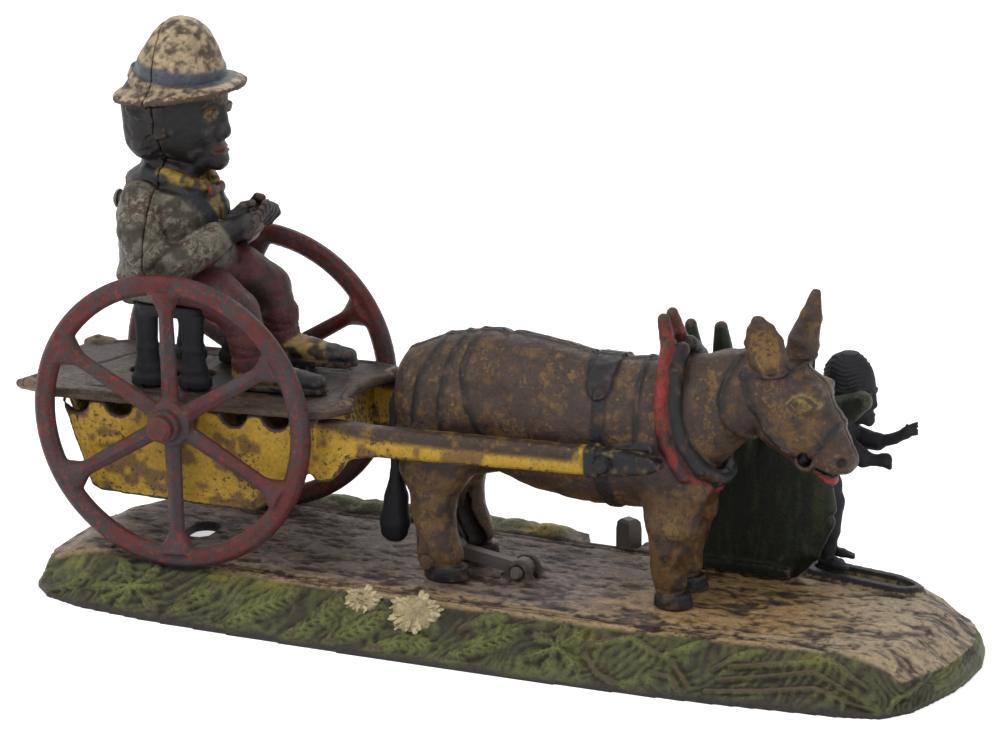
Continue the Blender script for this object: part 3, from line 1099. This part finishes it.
def bush(finishes):
    """Fan of leaves that hides the boy, with its foot on the road."""
    floor = ROAD_HEIGHT + GAP
    outline = [
        (-19.0, 0.0), (-20.5, 14.0), (-21.5, 30.0), (-24.0, 42.0), (-27.5, 57.0), (-28.4, 63.0),
        (-25.6, 63.6), (-21.5, 54.0),
        (-18.5, 48.0), (-18.6, 58.0), (-21.8, 66.5), (-20.4, 69.2), (-17.6, 68.0), (-13.5, 58.0),
        (-11.0, 50.0),
        (-12.0, 60.0), (-13.4, 67.4), (-11.0, 69.6), (-8.4, 67.0), (-5.0, 54.0), (-1.0, 46.0), (6.0, 54.0),
        (10.6, 65.0),
        (13.6, 69.4), (16.4, 67.6), (15.0, 58.0), (12.0, 47.0), (19.0, 50.0), (28.0, 54.0), (32.0, 52.6),
        (29.0, 47.0),
        (21.0, 38.0), (24.0, 30.0), (25.0, 22.0), (22.0, 13.0), (15.0, 6.0), (11.0, 0.0)]
    unit = BUSH_HEIGHT / 69.6
    outline = [(x * unit, z * unit) for x, z in outline]
    half = BUSH_THICKNESS / 2
    rings = []
    for along, shrink in ((-half, 0.0), (-half * 0.2, 1.0), (half, 1.0)):
        ring = []
        for i, (x, z) in enumerate(outline):
            before, after = Vector(outline[i - 1]), Vector(outline[(i + 1) % len(outline)])
            tangent = (after - before).normalized()
            inward = Vector((tangent.y, -tangent.x)) * (0.9 * (1.0 - shrink))
            z_moved = max(z + inward.y, 0.0) if z > 0 else 0.0
            ring.append(Vector((BUSH_X + x + inward.x, BUSH_Y + along, floor + z_moved)))
        rings.append(ring)
    fan = loft(rings)
    foot = box((BUSH_X - 18.5, BUSH_Y - half - 1.2, floor), (BUSH_X + 11.0, BUSH_Y + half + 0.8, floor + 3.0))
    fuse(fan, foot)
    for x in bush_screw_places():
        cut(fan, cylinder((x, BUSH_Y, floor - 1), (0, 0, 1), SCREW_RADIUS + GAP, 8.0, 12))
    finish(tidy_mesh(fan), "bush", finishes["leaf"])
    for number, x in enumerate(bush_screw_places(), 1):
        shoulder_screw(f"bush_screw_{number}", x, BUSH_Y, ROAD_UNDER - GAP, floor + 6.0, finishes["steel"])


def boy_limbs():
    """Stations of the boy's limbs from the middle of his tongue, and the sides of each limb."""
    near_foot = [(-2.0, -0.6, 1.6, 2.4, 1.6), (4.5, -1.6, 1.4, 2.0, 1.4)]
    near_leg = [(-2.2, -0.4, 2.0, 2.2, 2.2), (-1.0, 0.0, 11.0, 2.8, 3.0), (1.5, 0.4, 19.0, 3.4, 3.6),
        (-5.0, 1.0, 24.0, 3.8, 4.2)]
    far_leg = [(-5.0, 3.0, 24.0, 3.2, 3.8), (3.5, 4.0, 18.0, 2.8, 3.2), (1.0, 4.2, 9.0, 2.5, 2.6),
        (1.6, 4.2, 4.0, 2.2, 2.2),
               (6.5, 4.0, 3.0, 2.0, 1.5)]
    trunk = [(-6.0, 2.4, 23.0, 4.8, 5.4), (-3.0, 2.6, 32.0, 5.0, 5.2), (1.0, 2.6, 38.5, 4.8, 4.4)]
    head = [(1.5, 2.8, 40.0, 2.8, 3.0), (3.5, 2.8, 44.0, 5.0, 6.0), (3.4, 2.8, 50.0, 5.6, 7.2),
        (2.6, 2.8, 56.0, 4.6, 5.6)]
    near_arm = [(2.0, -1.0, 36.0, 2.2, 2.8), (8.0, -1.2, 32.0, 2.1, 2.5), (14.0, -0.8, 32.4, 2.3, 2.6)]
    far_arm = [(2.0, 5.2, 37.0, 2.2, 2.8), (10.0, 5.0, 35.0, 2.1, 2.4), (18.0, 3.6, 38.6, 2.1, 2.2),
        (21.0, 3.2, 40.4, 1.6, 1.6)]
    return [(near_foot, 8), (near_leg, 8), (far_leg, 8), (trunk, 10), (head, 10), (near_arm, 6), (far_arm, 6)]


def boy(finishes):
    """Running boy on a tongue that slides in the slot."""
    foot = slot_point(TONGUE_LENGTH / 2)
    floor = ROAD_HEIGHT + SLOT_RIM_HEIGHT + GAP
    pieces = []
    for stations, sides in boy_limbs():
        stood = placed(stations, BOY_HEIGHT / 61.0, floor)
        pieces.append(limb([(foot.x + u, foot.y + v, z, a, b) for u, v, z, a, b in stood], sides))
    across = BOY_SLOT_WIDTH / 2 - RUNNING_GAP
    half_run = Vector(SLIDE_DIRECTION) * (TONGUE_LENGTH / 2 - across)
    tongue_bottom = BAR_BOTTOM + BAR_THICKNESS + GAP
    tongue = prism(stadium(foot - half_run, foot + half_run, across), "Z", tongue_bottom, floor + 2.5)
    pieces.append(tongue)
    figure = fuse(*pieces)
    cut(figure, cylinder((foot.x, foot.y, 0), (0, 0, 1), SCREW_RADIUS + GAP, ROAD_UNDER, 12))
    finish(tidy_mesh(figure), "boy", finishes["black"], None, (foot.x, foot.y, BAR_BOTTOM))


def centre_frame():
    """Put the frame's origin at the bottom centre of the whole part."""
    bpy.context.view_layer.update()
    corners = [item.matrix_world @ vertex.co for item in bpy.data.objects if item.type == "MESH"
               for vertex in item.data.vertices]
    low = Vector([min(corner[i] for corner in corners) for i in range(3)])
    high = Vector([max(corner[i] for corner in corners) for i in range(3)])
    shift = Vector((-(low.x + high.x) / 2, -(low.y + high.y) / 2, -low.z))
    for item in bpy.data.objects:
        if item.parent is None:
            item.location += shift


def build():
    clear_scene()
    finishes = {
        "road": make_material("road_paint", (0.33, 0.25, 0.18), 0.6, 0.0),
        "wheel": make_material("wheel_red", (0.22, 0.05, 0.045), 0.45, 0.1),
        "yellow": make_material("cart_yellow", (0.62, 0.43, 0.07), 0.45, 0.0),
        "deck": make_material("deck_brown", (0.10, 0.075, 0.06), 0.5, 0.1),
        "black": make_material("black_enamel", (0.03, 0.032, 0.035), 0.4, 0.1),
        "coat": make_material("coat_grey", (0.22, 0.20, 0.15), 0.6, 0.0),
        "donkey": make_material("donkey_brown", (0.16, 0.09, 0.04), 0.5, 0.1),
        "leaf": make_material("leaf_green", (0.03, 0.05, 0.015), 0.5, 0.0),
        "steel": make_material("bare_iron", (0.18, 0.16, 0.15), 0.45, 0.7),
    }
    cart_empty = make_empty("cart_axis", (AXLE_X, 0, AXLE_Z), SLOPE)
    donkey_empty = make_empty("donkey_axis", (PIN_X, 0, PIN_Z))
    base_parts(finishes)
    axle(finishes, cart_empty)
    for name, side in (("wheel_near", -1), ("wheel_far", 1)):
        wheel(name, side, finishes, cart_empty)
    for name, side in (("cart_side_near", -1), ("cart_side_far", 1)):
        cart_side(name, side, finishes, cart_empty)
    tray(finishes, cart_empty)
    trap(finishes, cart_empty)
    deck(finishes, cart_empty)
    seat(finishes, cart_empty)
    driver(finishes, cart_empty)
    donkey(finishes, donkey_empty)
    shaft_pin(finishes, cart_empty)
    bush(finishes)
    boy(finishes)
    centre_frame()


build()
